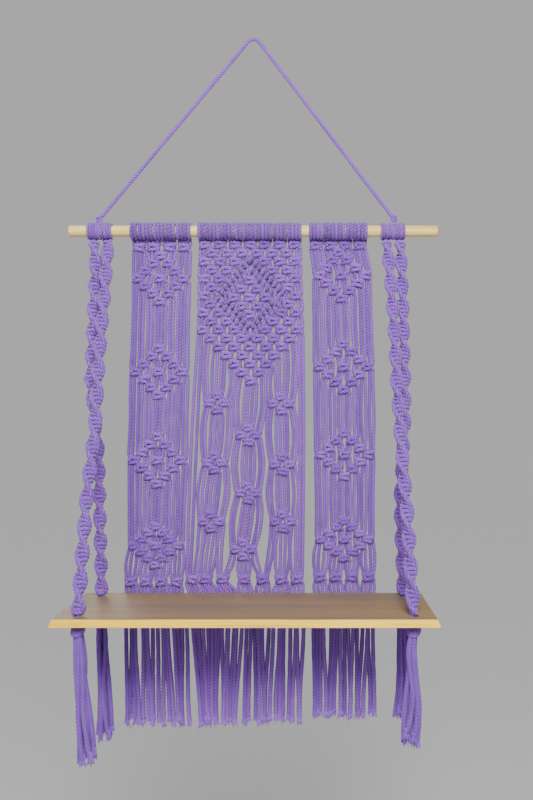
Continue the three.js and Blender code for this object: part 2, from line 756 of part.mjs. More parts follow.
addPiece("rod", toGeometry(rod()), PINE);
addPiece("board", toGeometry(board()), STAINED_PINE);
addPiece("hanger_cord", hangerCord(), COTTON);
for (const side of Object.keys(HANGER_KNOTS)) {
  addPiece(`hanger_knot_${side}`, toGeometry(hangerKnot(HANGER_KNOTS[side])), COTTON);
}
for (const side of Object.keys(SIDE_PANELS)) {
  addPiece(`panel_${side}`, toGeometry(sidePanel(side)), COTTON);
  addPiece(`fringe_${side}`, toGeometry(fringe(side, SIDE_STRANDS)), SHADED_COTTON);
}
addPiece("panel_centre", toGeometry(centrePanel()), COTTON);
addPiece("fringe_centre", toGeometry(fringe("centre", CENTRE_STRANDS)), SHADED_COTTON);
for (const [name, shape] of Object.entries(STRAPS)) {
  addPiece(`strap_${name}`, toGeometry(strap(shape)), COTTON);
  addPiece(`tassel_${name}`, toGeometry(tassel(shape)), SHADED_COTTON);
}

export default shelf;
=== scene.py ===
"""Macrame wall shelf: knotted cotton panels and spiral straps on a round rod, with a pine board."""
import math

import bmesh
import bpy
import numpy as np
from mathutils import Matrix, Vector


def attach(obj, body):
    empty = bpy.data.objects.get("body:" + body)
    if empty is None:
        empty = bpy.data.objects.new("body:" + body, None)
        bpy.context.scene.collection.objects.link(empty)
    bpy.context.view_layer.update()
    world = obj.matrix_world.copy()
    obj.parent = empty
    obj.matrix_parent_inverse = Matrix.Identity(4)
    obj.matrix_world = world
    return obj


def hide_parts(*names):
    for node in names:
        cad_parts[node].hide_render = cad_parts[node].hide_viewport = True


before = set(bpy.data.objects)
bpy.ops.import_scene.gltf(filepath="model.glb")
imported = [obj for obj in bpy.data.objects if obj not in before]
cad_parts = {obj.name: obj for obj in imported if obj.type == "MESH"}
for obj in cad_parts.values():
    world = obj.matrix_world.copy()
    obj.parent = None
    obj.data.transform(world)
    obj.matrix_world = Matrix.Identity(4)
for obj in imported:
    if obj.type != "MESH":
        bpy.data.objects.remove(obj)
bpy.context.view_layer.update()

# Sizes in millimetres, as in the solids. The origin is the top of the nail, and the wall is at +Y.
MM = 0.001

# Cord: radius, length of one twist, radius in the valleys between plies as a share, how much painted
# shade darkens them, and the length of one step along it
CORD = {"radius": 2.6, "lay": 12.5, "valley": 0.86, "valley_shade": 0.8, "step": 2.05}
# Radius as a share of the cord's own: where it hangs, in a knot, and at a loose end, which grows thicker
SWELL = {"hanging": 1.03, "knotted": 1.09, "loose": 1.12, "loose_growth": 0.18}
# The twist runs ahead and behind by this many radians, in long waves that differ from cord to cord
UNEVEN_TWIST = {"by": 1.6, "length": 31, "phase": 5}
SPLINE_PARTS = 8

ROD = {"length": 500.0, "radius": 7.5, "y": -7.0, "z": -261.0, "round": 1.5, "sides": 64, "rings": 25}
BOARD = {"depth": 170.0, "thickness": 9.0, "back_y": -4.0, "top_z": -752.0}
HOLE = {"x": 201.0, "from_edge": 24.0}
# Wood: the angle in radians from which an edge is softened, and that up to which a round face is smooth
SHARP_ANGLE = 0.35
SMOOTH_ANGLE = 0.6
PANEL_Y = 0.8
# A cord's way over the rod: its start behind it, the angles it passes and where it leaves it. Each pair
# of ribs is shifted by up to this much, and its two cords lie this share of a rib from its middle.
WRAP = {"radius": 9.95, "start_y": 10.4, "start_z": -3, "end_z": -12.5, "shift": 0.22, "from_middle": 0.49}
WRAP_DEGREES = (12, 50, 90, 130, 180, 225, 265, 300)
# Square knot: the inner strands' distance from its middle, its half width and half height, how far it
# stands out in front and behind, its bars' height from the middle, and the usual spacing of strands
KNOT = {"inner": 2.0, "side": 7.2, "half_height": 5.2, "front": 3.4, "back": 2.4, "bar_z": 2.75}
SPACING = 5.05
# A free stretch has no point below the least drop, one below the short one, and above it three and one
# more for each further length. It sways and bows in full from these drops on.
STRETCH = {"least": 6, "short": 14, "per_point": 24, "full_sway": 90, "full_bow": 30}

# From the left knot on the rod over the nail to the right one
HANGER_ROUTE = [
    (-206.5, -7, -242), (-140, -4.7, -161.4), (-70, -2.3, -76.6), (-20, -0.5, -16),
    (-7.7, 0, -1.1), (-4, 0, 1.7), (0, 0, 2.5), (4, 0, 1.7), (8, 0, -1.5),
    (20, -0.5, -17.5), (68, -2.3, -81.3), (128, -4.7, -161.1), (188.5, -7, -241.5),
]

# Left and right edge of each panel at some heights
OUTLINES = {
    "left": [
        {"z": -278, "left": -166.4, "right": -84.2},
        {"z": -463, "left": -170.5, "right": -87},
        {"z": -572, "left": -173.2, "right": -89},
        {"z": -688, "left": -171.9, "right": -94.4},
        {"z": -752, "left": -176.5, "right": -95.5},
    ],
    "centre": [
        {"z": -278, "left": -75.4, "right": 65.9},
        {"z": -354, "left": -78.1, "right": 68.6},
        {"z": -490, "left": -80.8, "right": 74.7},
        {"z": -626, "left": -83.6, "right": 72},
        {"z": -694, "left": -88.3, "right": 74},
        {"z": -752, "left": -91.5, "right": 70},
    ],
    "right": [
        {"z": -278, "left": 75.4, "right": 154.9},
        {"z": -320, "left": 79.1, "right": 161.8},
        {"z": -483, "left": 79.9, "right": 167.3},
        {"z": -565, "left": 81.5, "right": 167.3},
        {"z": -680, "left": 82.9, "right": 166},
        {"z": -752, "left": 80.4, "right": 166.9},
    ],
}
SIDE_STRANDS = 16
# Side panels: the height of the first row, each diamond's middle height and row pitch, and the hem row
SIDE_PANELS = {
    "left": {
        "top_row_z": -282,
        "diamonds": [(-324.3, 10.3), (-451.6, 10.6), (-572.2, 10.7), (-688.4, 8.7)],
        "hem_z": -738,
        "hem_knots": [-167, -147, -126, -105.5],
    },
    "right": {
        "top_row_z": -279.5,
        "diamonds": [(-320.2, 10.4), (-444.8, 10.4), (-564.8, 9.8), (-680.2, 8.4)],
        "hem_z": -731.5,
        "hem_knots": [90.4, 112.1, 133.8, 156.9],
    },
}
# A side panel's diamond: rows above and below its middle
DIAMOND_REACH = 3
CENTRE_STRANDS = 28
# The field is left open between two rings round its middle, and the knots inside hang lower
FIELD = {"top_z": -278.1, "row_pitch": 11.6, "full_rows": 10, "foot_rows": 7}
FIELD_RINGS = {"middle": 14, "row": 6, "inner": 2, "outer": 6, "drop": 2.5}
# Corners of the two diamonds of slanting hitches: top, left, bottom, right. Each has a cord at its core,
# and the first and last strand that winds over it.
HITCH_DIAMONDS = [
    {"corners": [(-4.2, -295.7), (-50.5, -350), (-4.8, -408.5), (44.5, -349)], "first": 5, "last": 22},
    {"corners": [(-3.2, -312.4), (-36.8, -351), (-5, -391.5), (29.8, -350)], "first": 8, "last": 19},
]
HITCH = {"middle_z": -350, "half_height": 6, "core_y": 1.2, "core_radius": 2.9}
HITCH_LEAN = {"rising": 0.36, "falling": -0.42}
SMALL_DIAMOND = {"unit": 4.9, "row_pitch": 9.6, "half_height": 4.6}
SMALL_DIAMOND_BOW = [-3.8, -3.4, -0.8, -0.4, 0.4, 0.8, 3.4, 3.8]
CENTRE_COLUMNS = [
    {"first": 2, "diamonds": [(-49.6, -494), (-52.7, -575.6), (-57.7, -655.8)]},
    {"first": 10, "diamonds": [(-7.1, -537.6), (-7.7, -616.8), (-13.7, -693.8)]},
    {"first": 18, "diamonds": [(38, -495), (39.3, -577.7), (40.1, -655.8)]},
]
CENTRE_HEM = {"hem_z": -734.6, "hem_knots": [-83.6, -64.6, -42.1, -13.5, 12.2, 38.1, 59.5]}
# Above and below a hem knot its four strands bow apart
HEM = {"spacing": 4.6, "bow": [-2.4, -0.8, 0.8, 2.4], "bow_above": 35, "tilt": 2.2}
FRINGE_TOP_Z = BOARD["top_z"]
# The plies of a loose end have opened, so the valleys between them are shallower
LOOSE = {"below_z": FRINGE_TOP_Z - 4, "valley": 0.7}
FRINGE = {
    "left": [{"first": 0, "count": 16, "left": -178, "right": -84, "bottom": -931}],
    "centre": [
        {"first": 0, "count": 14, "left": -75, "right": -24, "bottom": -931},
        {"first": 14, "count": 14, "left": -15, "right": 68, "bottom": -929},
    ],
    "right": [{"first": 0, "count": 16, "left": 77, "right": 165, "bottom": -921}],
}

# Straps: their knots' half width, half depth and height, and where the knots begin and end. Each has its
# edges on the rod, the height of its first bulge, the height of a half turn, and its drift as z and x.
STRAP = {"top_z": ROD["z"] - 9.5, "foot_z": BOARD["top_z"] + 3, "long": 6.5, "thick": 1.9, "pitch": 10.4}
STRAP_CORDS = 4
STRAP_CORD = {"radius": 2.85, "core_radius": 1.5, "core_spacing": 1.6}
STRAP_FOOT = {"radius": 2.0, "spacing": 1.5, "stagger": 1.2}
STRAPS = {
    "front_left": {
        "wrap": (-205.9, -191), "side": -1, "front": True, "bulge_z": -288, "half_turn": 32.5,
        "drift": [(-270, -198.5), (-300, -196.6), (-432, -198), (-530, -196.8), (-620, -201), (-749, -201)],
        "tassel_dx": 11, "tassel_bottom": -931,
    },
    "rear_left": {
        "wrap": (-225, -210.1), "side": -1, "front": False, "bulge_z": -302, "half_turn": 31.3,
        "drift": [(-270, -217.5), (-303, -214), (-367, -215.8), (-465, -219), (-560, -207.5), (-749, -201)],
        "tassel_dx": 5, "tassel_bottom": -944,
    },
    "front_right": {
        "wrap": (172.6, 187.2), "side": 1, "front": True, "bulge_z": -303.5, "half_turn": 32.8,
        "drift": [
            (-270, 180), (-303, 182.9), (-376, 187), (-475, 189.5), (-545, 192), (-620, 196.5), (-749, 201),
        ],
        "tassel_dx": -4, "tassel_bottom": -910,
    },
    "rear_right": {
        "wrap": (191.4, 205.8), "side": 1, "front": False, "bulge_z": -305, "half_turn": 31.1,
        "drift": [(-270, 198.6), (-305, 200.6), (-377, 203), (-510, 205), (-625, 197.5), (-749, 201)],
        "tassel_dx": -1, "tassel_bottom": -913,
    },
}
# Tassel: one strand in a ring of six, which flares downwards
TASSEL = {"strands": 7, "ring": 2.64, "flare": 6.0}
TASSEL_TOP_Z = BOARD["top_z"] - BOARD["thickness"] - 0.3
STOPPER = {"turns": 2, "turn_steps": 14, "radius": 5.6, "belly": 1.2, "drop": 9.0, "wave": 2.4, "cord": 2.5}
HANGER_RADIUS = 2.8
HANGER_KNOTS = {
    "left": {"wrap_x": -208, "end": 0, "side": -1},
    "right": {"wrap_x": 189.3, "end": -1, "side": 1},
}
HANGER_TURN = {"from": 70, "degrees": 400, "steps": 16, "lean": 1.6, "cord": 2.4}
KNOB = {"aside": 3.2, "radius": 2.0, "turn_steps": 9, "steps": 20, "foot": -9, "rise": 0.52, "cord": 2.5}
# Random angles lie between nought and one full turn, in radians
FULL_TURN = 6.28
SEEDS = {"side": 11, "centre": 5, "strap": 30, "tassel": 50}


def new_object(name, data):
    """An object in the scene."""
    item = bpy.data.objects.new(name, data)
    bpy.context.scene.collection.objects.link(item)
    return item


# Camera in front of the shelf
camera = new_object("camera", bpy.data.cameras.new("camera"))
camera.location = (0.0754, -1.214, -0.5185)
camera.rotation_euler = (math.pi / 2, 0, 0)
camera.data.lens = 40
camera.data.sensor_width = 36
camera.data.shift_x = -0.053
camera.data.shift_y = 0.026
camera.data.clip_start = 0.01
bpy.context.scene.camera = camera


class Nodes:
    """Short ways to build a node material."""

    def __init__(self, name):
        self.material = bpy.data.materials.new(name)
        self.material.use_nodes = True
        self.tree = self.material.node_tree
        self.shader = self.tree.nodes["Principled BSDF"]

    def add(self, kind, settings=None, **inputs):
        node = self.tree.nodes.new(kind)
        for key, value in (settings or {}).items():
            setattr(node, key, value)
        for key, value in inputs.items():
            self.put(node.inputs[key.replace("_", " ")], value)
        return node

    def put(self, socket, value):
        if isinstance(value, bpy.types.NodeSocket):
            self.tree.links.new(value, socket)
        else:
            socket.default_value = value

    def mapped(self, source, scale):
        return self.add("ShaderNodeMapping", Vector=source, Scale=scale).outputs[0]

    def noise(self, vector, scale, detail=3.0, roughness=0.55):
        inputs = {"Vector": vector, "Scale": scale, "Detail": detail, "Roughness": roughness}
        return self.add("ShaderNodeTexNoise", **inputs).outputs[0]

    def ramp(self, value, stops):
        node = self.add("ShaderNodeValToRGB", Fac=value)
        elements = node.color_ramp.elements
        while len(elements) < len(stops):
            elements.new(0.5)
        for element, (position, color) in zip(elements, stops):
            element.position = position
            element.color = (*color, 1)
        return node.outputs[0]

    def mix(self, factor, a, b, blend="MIX"):
        node = self.add("ShaderNodeMix", {"data_type": "RGBA", "blend_type": blend})
        self.put(node.inputs[0], factor)
        self.put(node.inputs[6], a)
        self.put(node.inputs[7], b)
        return node.outputs[2]

    def math(self, operation, *values):
        node = self.add("ShaderNodeMath", {"operation": operation})
        for socket, value in zip(node.inputs, values):
            self.put(socket, value)
        return node.outputs[0]

    def bump(self, height, strength, distance):
        node = self.add("ShaderNodeBump", Height=height, Strength=strength, Distance=distance)
        self.surface(Normal=node.outputs[0])

    def surface(self, **inputs):
        for key, value in inputs.items():
            self.put(self.shader.inputs[key.replace("_", " ")], value)


def rgb(r, g, b):
    """Linear colour from 0 to 255 display values."""
    return tuple((c / 255 / 12.92) if c <= 10 else ((c / 255 + 0.055) / 1.055) ** 2.4 for c in (r, g, b))


def cotton_material(name, light, deep):
    """Matt cotton: each cord has its own tone, and its fibres run along it.

    Painted shade darkens its valleys and the sides that face other cords.
    """
    m = Nodes(name)
    uv = m.add("ShaderNodeUVMap", {"uv_map": "cord"}).outputs[0]
    place = m.add("ShaderNodeTexCoord").outputs["Object"]
    tone = m.add("ShaderNodeAttribute", {"attribute_name": "tone"}).outputs["Fac"]
    crevice_shade = m.add("ShaderNodeAttribute", {"attribute_name": "crevice_shade"}).outputs["Fac"]
    fibres = m.noise(m.mapped(uv, (6, 34, 1)), 1.0, 4.0, 0.7)
    cloud = m.noise(place, 45.0, 2.0)
    shade = m.math("MULTIPLY_ADD", tone, 0.6, m.math("MULTIPLY", cloud, 0.5))
    body = m.mix(shade, (*deep, 1), (*light, 1))
    streaked = m.mix(m.math("MULTIPLY", fibres, 0.35), body, (*[c * 0.62 for c in deep], 1))
    # Painted shade: valleys between plies and sides that face other cords darken towards this colour
    depth = m.ramp(crevice_shade, [(0.0, (0.3, 0.23, 0.36)), (0.92, (1, 1, 1))])
    m.surface(Base_Color=m.mix(1.0, streaked, depth, "MULTIPLY"), Roughness=0.92, Specular_IOR_Level=0.2)
    m.surface(Sheen_Weight=0.35, Sheen_Roughness=0.55, Sheen_Tint=(0.9, 0.82, 1, 1))
    m.bump(fibres, 0.5, 0.0006)
    return m.material


def wood_material(name, pale, dark, line, stretch, painted_top_shade=None):
    """Pine: long grain lines along X, soft bands and fine pores.

    Level faces can be greyed and darkened with painted shade.
    """
    m = Nodes(name)
    place = m.add("ShaderNodeTexCoord").outputs["Object"]
    bands = m.noise(m.mapped(place, stretch), 1.0, 3.0, 0.6)
    finer = (stretch[0] * 1.6, stretch[1] * 4, stretch[2] * 4)
    lines = m.noise(m.mapped(place, finer), 1.8, 4.0, 0.7)
    pores = m.noise(m.mapped(place, (60, 1400, 1400)), 1.0, 2.0)
    body = m.mix(m.ramp(bands, [(0.32, (0, 0, 0)), (0.68, (1, 1, 1))]), (*dark, 1), (*pale, 1))
    if painted_top_shade:
        # Painted shade: faces that lie level, such as the board's top, turn towards a darker grey, as if in
        # shade
        facing = m.add("ShaderNodeTexCoord").outputs["Normal"]
        upward = m.math("ABSOLUTE", m.add("ShaderNodeSeparateXYZ", Vector=facing).outputs["Z"])
        level = m.ramp(upward, [(0.85, (0, 0, 0)), (0.95, (1, 1, 1))])
        strength = m.ramp(bands, [(0.36, (0.76, 0.76, 0.76)), (0.62, (0.9, 0.9, 0.9))])
        body = m.mix(m.math("MULTIPLY", level, strength), body, (*painted_top_shade, 1))
    lined = m.mix(m.ramp(lines, [(0.52, (0, 0, 0)), (0.62, (0.5, 0.5, 0.5))]), body, (*line, 1))
    roughness = m.math("MULTIPLY_ADD", pores, 0.25, 0.42)
    m.surface(Base_Color=lined, Roughness=roughness, Specular_IOR_Level=0.35)
    m.bump(m.math("ADD", lines, pores), 0.18, 0.0004)
    return m.material


COTTON = cotton_material("cotton_cord", rgb(176, 116, 230), rgb(118, 64, 190))
ROD_WOOD = wood_material(
    "rod_wood",
    pale=rgb(240, 217, 136),
    dark=rgb(218, 190, 104),
    line=rgb(178, 146, 76),
    stretch=(2.5, 55, 55),
)
BOARD_WOOD = wood_material(
    "board_wood",
    pale=rgb(255, 208, 30),
    dark=rgb(238, 184, 24),
    line=rgb(168, 116, 24),
    stretch=(3, 38, 60),
    # Painted shade on the board's top, greyer and darker than its lit front edge
    painted_top_shade=rgb(92, 88, 92),
)


def smooth_curve(rows, step):
    """A centripetal spline through rows of x, y, z and radius, resampled to even steps.

    Also gives the distance along it at each step. A row less than 0.05 mm from the last one is left out.
    """
    rows = np.asarray(rows, float)
    gaps = np.linalg.norm(np.diff(rows[:, :3], axis=0), axis=1)
    rows = rows[np.concatenate([[True], gaps > 0.05])]
    gaps = np.sqrt(np.linalg.norm(np.diff(rows[:, :3], axis=0), axis=1))
    slopes = np.diff(rows, axis=0) / gaps[:, None]
    tangents = np.empty_like(rows)
    tangents[0], tangents[-1] = slopes[0], slopes[-1]
    before, after = gaps[:-1, None], gaps[1:, None]
    tangents[1:-1] = (slopes[:-1] * after + slopes[1:] * before) / (before + after)
    u = np.linspace(0, 1, SPLINE_PARTS + 1)[:-1][None, :, None]
    h = gaps[:, None, None]
    p0, p1 = rows[:-1, None, :], rows[1:, None, :]
    m0, m1 = tangents[:-1, None, :] * h, tangents[1:, None, :] * h
    fine = (
        (2 * u**3 - 3 * u**2 + 1) * p0 + (u**3 - 2 * u**2 + u) * m0
        + (3 * u**2 - 2 * u**3) * p1 + (u**3 - u**2) * m1
    ).reshape(-1, 4)
    fine = np.vstack([fine, rows[-1]])
    length = np.concatenate([[0], np.cumsum(np.linalg.norm(np.diff(fine[:, :3], axis=0), axis=1))])
    count = max(2, int(round(length[-1] / step)) + 1)
    at = np.linspace(0, length[-1], count)
    return np.stack([np.interp(at, length, fine[:, k]) for k in range(4)], axis=1), at


def frames(points):
    """Two normals at each point, turned as little as possible from one to the next."""
    tangents = np.gradient(points, axis=0)
    tangents /= np.linalg.norm(tangents, axis=1)[:, None]
    seed = np.array([0.0, 1.0, 0.0]) if abs(tangents[0][1]) < 0.9 else np.array([1.0, 0.0, 0.0])
    normal = np.cross(tangents[0], seed)
    normals = np.empty_like(points)
    for k, tangent in enumerate(tangents):
        normal = normal - tangent * normal.dot(tangent)
        normal = normal / math.sqrt(normal.dot(normal))
        normals[k] = normal
    return normals, np.cross(tangents, normals)


class CordMesh:
    """Collects cords into one mesh. A twisted cord has three plies, whose ridges run round it."""

    def __init__(self):
        self.points, self.quads, self.tris = [], [], []
        self.uvs, self.tones, self.crevice_shades = [], [], []
        self.count = 0

    def add(self, rows, tone, sides=6, step=CORD["step"], plain=False, phase=0.0, crowded=0.0):
        """A cord along rows of x, y, z and radius. The last argument paints shade on the sides that face
        other cords.
        """
        curve, at = smooth_curve(rows, step)
        normal, other = frames(curve[:, :3])
        turn, valley = np.zeros_like(at), np.zeros(sides)
        if not plain:
            uneven = np.sin(at / UNEVEN_TWIST["length"] + UNEVEN_TWIST["phase"] * phase)
            turn = 2 * math.pi * at / CORD["lay"] + phase + UNEVEN_TWIST["by"] * uneven
            valley = (np.arange(sides) % 2).astype(float)
        angles = turn[:, None] + (2 * math.pi * np.arange(sides) / sides)[None, :]
        depth = valley[None, :] * np.where(curve[:, 2:3] < LOOSE["below_z"], LOOSE["valley"], 1.0)
        reach = curve[:, 3:4] * (1 - depth * (1 - CORD["valley"]))
        cosine, sine = np.cos(angles)[..., None], np.sin(angles)[..., None]
        outward = cosine * normal[:, None, :] + sine * other[:, None, :]
        ring = curve[:, None, :3] + reach[..., None] * outward
        # Painted shade: darker in the valleys between plies and on the sides that face other cords
        crevice_shade = (1 - CORD["valley_shade"] * depth) * (1 - crowded * outward[..., 0] ** 2)
        self.points.append(ring.reshape(-1, 3))
        self.tones.append(np.full(crevice_shade.size, tone))
        self.crevice_shades.append(crevice_shade.ravel())
        self.cover(at, sides)

    def cover(self, at, sides):
        """Faces between a cord's rings and over its ends. u runs along it in centimetres, and v round it."""
        rings = len(at)
        base = self.count + np.arange(rings - 1)[:, None] * sides
        here = np.arange(sides)[None, :]
        after = (here + 1) % sides
        corners = [base + here, base + after, base + after + sides, base + here + sides]
        self.quads.append(np.stack(corners, -1).reshape(-1, 4))
        u = np.broadcast_to(at[:, None] / 10, (rings, sides + 1))
        v = np.broadcast_to(np.arange(sides + 1)[None, :] / sides, (rings, sides + 1))
        uv = np.stack([u, v], -1)
        corner_uv = [uv[:-1, :-1], uv[:-1, 1:], uv[1:, 1:], uv[1:, :-1]]
        self.uvs.append(np.stack(corner_uv, 2).reshape(-1, 2))
        last = self.count + (rings - 1) * sides
        fan = np.arange(1, sides - 1)
        start = np.stack([np.full_like(fan, self.count), self.count + fan + 1, self.count + fan], -1)
        end = np.stack([np.full_like(fan, last), last + fan, last + fan + 1], -1)
        self.tris.append(np.vstack([start, end]))
        self.count += rings * sides

    def build(self, name, material, *nodes):
        """One piece of all the cords, with each point's tone and painted shade for the material."""
        quads, tris = np.vstack(self.quads), np.vstack(self.tris)
        points = np.vstack(self.points) * MM
        mesh = bpy.data.meshes.new(name)
        mesh.vertices.add(len(points))
        mesh.vertices.foreach_set("co", points.ravel())
        mesh.loops.add(quads.size + tris.size)
        mesh.loops.foreach_set("vertex_index", np.concatenate([quads.ravel(), tris.ravel()]))
        mesh.polygons.add(len(quads) + len(tris))
        starts = np.concatenate([np.arange(len(quads)) * 4, quads.size + np.arange(len(tris)) * 3])
        mesh.polygons.foreach_set("loop_start", starts)
        mesh.update(calc_edges=True)
        layer = mesh.uv_layers.new(name="cord")
        uv = np.vstack([*self.uvs, np.zeros((tris.size, 2))])
        layer.data.foreach_set("uv", uv.ravel())
        for key, values in (("tone", self.tones), ("crevice_shade", self.crevice_shades)):
            attribute = mesh.attributes.new(key, "FLOAT", "POINT")
            attribute.data.foreach_set("value", np.concatenate(values))
        mesh.shade_smooth()
        mesh.materials.append(material)
        piece = new_object(name, mesh)
        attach(piece, "root")
        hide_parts(*nodes)
        return piece


def between(rows, z, column):
    """Value of a column at height z, straight between rows that run downwards."""
    heights = [-row["z"] for row in rows]
    return float(np.interp(-z, heights, [row[column] for row in rows]))


def across(outline, strands, s, z):
    """The x that lies s strands from a panel's left edge at height z."""
    left, right = between(outline, z, "left"), between(outline, z, "right")
    return left + (right - left) * s / strands


class Strand:
    """One cord, from the rod down. Rows are x, y, z and radius.

    Its free stretches bow sideways by spread and towards the wall by depth.
    """

    def __init__(self, random):
        self.random = random
        self.tone = random.uniform(0.05, 0.95)
        self.phase = random.uniform(0, FULL_TURN)
        self.rows = []
        self.left_at = None
        self.spread = 0.0
        self.depth = random.uniform(-0.9, 0.9)

    def wrap(self, x, pair_x, radius=CORD["radius"]):
        """Over the rod from behind, down its front and back under it."""
        self.rows.append((pair_x, ROD["y"] + WRAP["start_y"], ROD["z"] + WRAP["start_z"], radius))
        for degrees in WRAP_DEGREES:
            angle = math.radians(degrees)
            y = ROD["y"] + WRAP["radius"] * math.cos(angle)
            z = ROD["z"] + WRAP["radius"] * math.sin(angle)
            self.rows.append((x, y, z, radius * SWELL["hanging"]))
        self.left_at = (x, ROD["z"] + WRAP["end_z"])

    def hang(self, x, z):
        """Free stretch from the last knot to the next one at x, z. Long ones sway more than short ones."""
        x0, z0 = self.left_at
        drop = z0 - z
        if drop < STRETCH["least"]:
            return
        count = 1 if drop < STRETCH["short"] else 3 + int(drop / STRETCH["per_point"])
        sway = min(1.0, drop / STRETCH["full_sway"])
        out = self.spread * min(1, drop / STRETCH["full_bow"])
        wave, lean = self.random.uniform(-sway, sway), self.random.uniform(-sway, sway)
        for k in range(count):
            share = (k + 0.5) / count if count < 3 else k / (count - 1)
            arch = math.sin(math.pi * share)
            bow = (wave + out) * arch + 0.35 * lean * math.sin(2.7 * math.pi * share)
            y = PANEL_Y + (0.5 * lean + self.depth) * arch
            radius = CORD["radius"] * SWELL["hanging"]
            self.rows.append((x0 + (x - x0) * share + bow, y, z0 - drop * share, radius))

    def tie(self, rest_x, top, rows, bottom):
        """Down to a knot's top, through it along rows, and out at its bottom."""
        self.hang(rest_x, top)
        self.rows += rows
        self.left_at = (rest_x, bottom)


def mirrored(points):
    """A knot's upper points again below its middle, in the order in which the cord meets them."""
    return [(u, y, -v) for u, y, v in reversed(points)]


def square_knot(strands, first, x, z, half_height=KNOT["half_height"], spacing=SPACING):
    """Four strands: the outer two cross in front of and behind the inner two, twice."""
    random = strands[first].random
    x += random.uniform(-0.4, 0.4)
    h = half_height * random.uniform(0.96, 1.04)
    f, b, t, w, c = (KNOT[key] for key in ("front", "back", "side", "inner", "bar_z"))
    t *= min(1, 0.5 + 0.5 * spacing / SPACING)
    c *= h / KNOT["half_height"]
    upper_front = [(-t, 0, h), (-t, -2.4, 0.66 * h), (1.6 - t, -f, 1.35 * c)]
    upper_front += [(0, -f - 0.4, c), (t - 2.8, 0.5 - f, 0.72 * c)]
    turn = [(t - 1.1, -1.4, 0.5 * c), (t - 0.6, 0.4, 0), (t - 1.1, -1.4, -0.5 * c)]
    upper_back = [(t, 0, h), (t, -2.4, 0.66 * h), (t - 1.2, -2.2, 1.2 * c), (w, b, 0.9 * c)]
    upper_back += [(-w, b, 0.8 * c), (0.1 - t, 0.2, 0.8 * c), (0.5 - t, -2.8, 0.7 * c)]
    bump = (1.7 - t, -f - 1.8, 0)
    front = [*upper_front, *turn, *mirrored(upper_front)]
    back = [*upper_back, bump, *mirrored(upper_back)]
    inner = [[(side * w, -0.9, h), (side * w, 0.6, 0), (side * w, -0.9, -h)] for side in (-1, 1)]
    roles = [front, *inner, back]
    if random.uniform(0, 1) < 0.15:
        roles = [[(-u, y, v) for u, y, v in role] for role in reversed(roles)]
    tilt = random.uniform(-0.07, 0.07) * (HEM["tilt"] if spacing == HEM["spacing"] else 1)
    radius = CORD["radius"] * SWELL["knotted"]
    for k, role in enumerate(roles):
        rows = [(x + u - tilt * v, PANEL_Y + y, z + v + tilt * u, radius) for u, y, v in role]
        strands[first + k].tie(x + (k - 1.5) * spacing, z + h + 1, rows, z - h - 1)


def hitch(strand, x, z, rising):
    """A strand wound over a slanting cord: one steep grain in front, which leans the other way."""
    lean = HITCH_LEAN["rising" if rising else "falling"]
    fall = -math.sqrt(1 - lean * lean)
    grain = [(-4.7, 2.0, 0.85), (-4.3, -0.8, 0.95), (-2.6, -3.2, 1.0), (0, -4.0, 1.03)]
    grain += [(-s, y, share) for s, y, share in reversed(grain[:-1])]
    rows = [(x + s * lean, PANEL_Y + y, z + s * fall, CORD["radius"] * share) for s, y, share in grain]
    strand.tie(x, z + HITCH["half_height"], rows, z - HITCH["half_height"])


def loose_radius(share):
    """A loose end's radius, which grows towards the cut."""
    return CORD["radius"] * (SWELL["loose"] + SWELL["loose_growth"] * share)


def fringe_end(mesh, rows, strand, random):
    """The cord's cut end: its plies have opened into a short blunt brush, with loose fibres."""
    x, y, z, _ = rows[-1]
    drift = (x - rows[-2][0]) / max(rows[-2][2] - z, 1)
    for k in range(4):
        angle = strand.phase + FULL_TURN / 4 * k
        dx, dy = math.cos(angle), math.sin(angle)
        spread = random.uniform(0.8, 2.2)
        length = random.uniform(5, 9)
        ply = [(x + 1.3 * dx, y + 1.3 * dy, z + 6, 1.6)]
        for share in (0.4, 0.8, 1.0):
            reach = 1.5 + spread * share
            ply.append((
                x + drift * length * share + reach * dx,
                y + 0.8 * reach * dy,
                z - length * share,
                1.7 - 0.7 * share * share,
            ))
        mesh.add(ply, strand.tone, sides=5, step=3, plain=True)
    for _ in range(6):
        angle = random.uniform(0, FULL_TURN)
        dx, dy = math.cos(angle), math.sin(angle)
        length = random.uniform(7, 13)
        spread = random.uniform(2, 5)
        fibre = [
            (x + 2 * dx, y + 2 * dy, z + 2, 0.5),
            (x + spread * 0.7 * dx, y + spread * 0.5 * dy, z - length * 0.5, 0.45),
            (x + spread * dx, y + spread * 0.7 * dy, z - length, 0.25),
        ]
        mesh.add(fibre, 0.9, sides=3, step=6, plain=True)


def fringe_rows(top_x, end_x, bottom, group, random):
    """A loose strand from the board's level down. Strands drift in groups, and each has its own curl."""
    depth = random.uniform(-3.5, 1.2)
    curl = random.uniform(-2.6, 2.6)
    rows = []
    for part in (0, 0.12, 0.3, 0.5, 0.7, 0.86, 1):
        bow = curl * math.sin(1.6 * math.pi * part) + group * math.sin(0.7 * math.pi * part)
        x = top_x + (end_x - top_x) * part**0.8 + bow
        y = PANEL_Y + depth * math.sin(math.pi * part / 2)
        rows.append((x, y, FRINGE_TOP_Z + (bottom - FRINGE_TOP_Z) * part, loose_radius(part)))
    return rows


